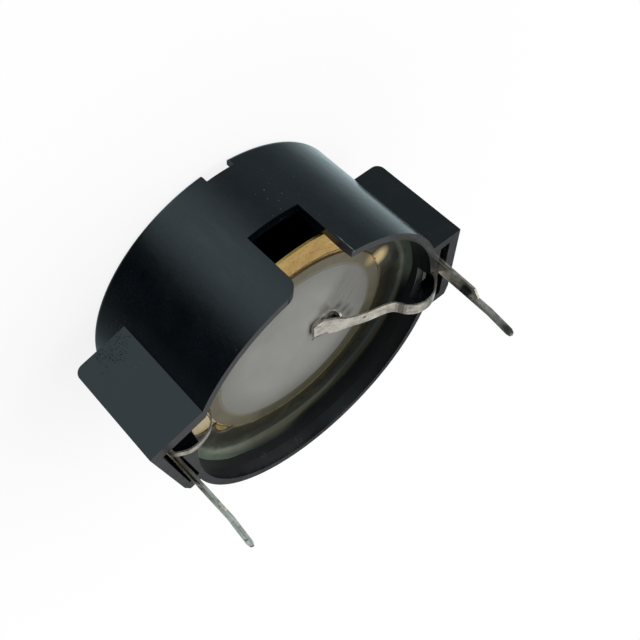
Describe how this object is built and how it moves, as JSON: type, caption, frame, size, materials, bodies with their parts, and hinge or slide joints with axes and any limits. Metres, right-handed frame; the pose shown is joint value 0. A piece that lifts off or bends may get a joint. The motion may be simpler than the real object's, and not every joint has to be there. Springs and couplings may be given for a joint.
{
  "type": "piezo buzzer",
  "caption": "Round open-backed piezo buzzer: black moulded resonator housing with side ears, piezo disc, spring contacts and blade pins.",
  "frame": {"origin": "centre of the sound hole on the plane of the rim round the sound face", "axes": "+Z from the sound face to the open back and the pins, +Y to the side window, ears on +X and -X"},
  "size_m": [0.0462, 0.0378, 0.0308],
  "materials": {
    "housing_plastic": "satin moulded black thermoplastic",
    "brass_plate": "rolled, dull",
    "piezo_ceramic": "fired ceramic, unglazed",
    "silver_layer": "fired silver, dull",
    "sealant": "cured clear adhesive",
    "tinned_spring": "tin-plated spring bronze"
  },
  "bodies": {
    "root": {"housing": "housing_plastic", "diaphragm": "brass_plate", "ceramic": "piezo_ceramic", "electrode": "silver_layer", "sealant": "sealant", "center_contact": "tinned_spring", "rim_contact": "tinned_spring"}
  },
  "joints": []
}
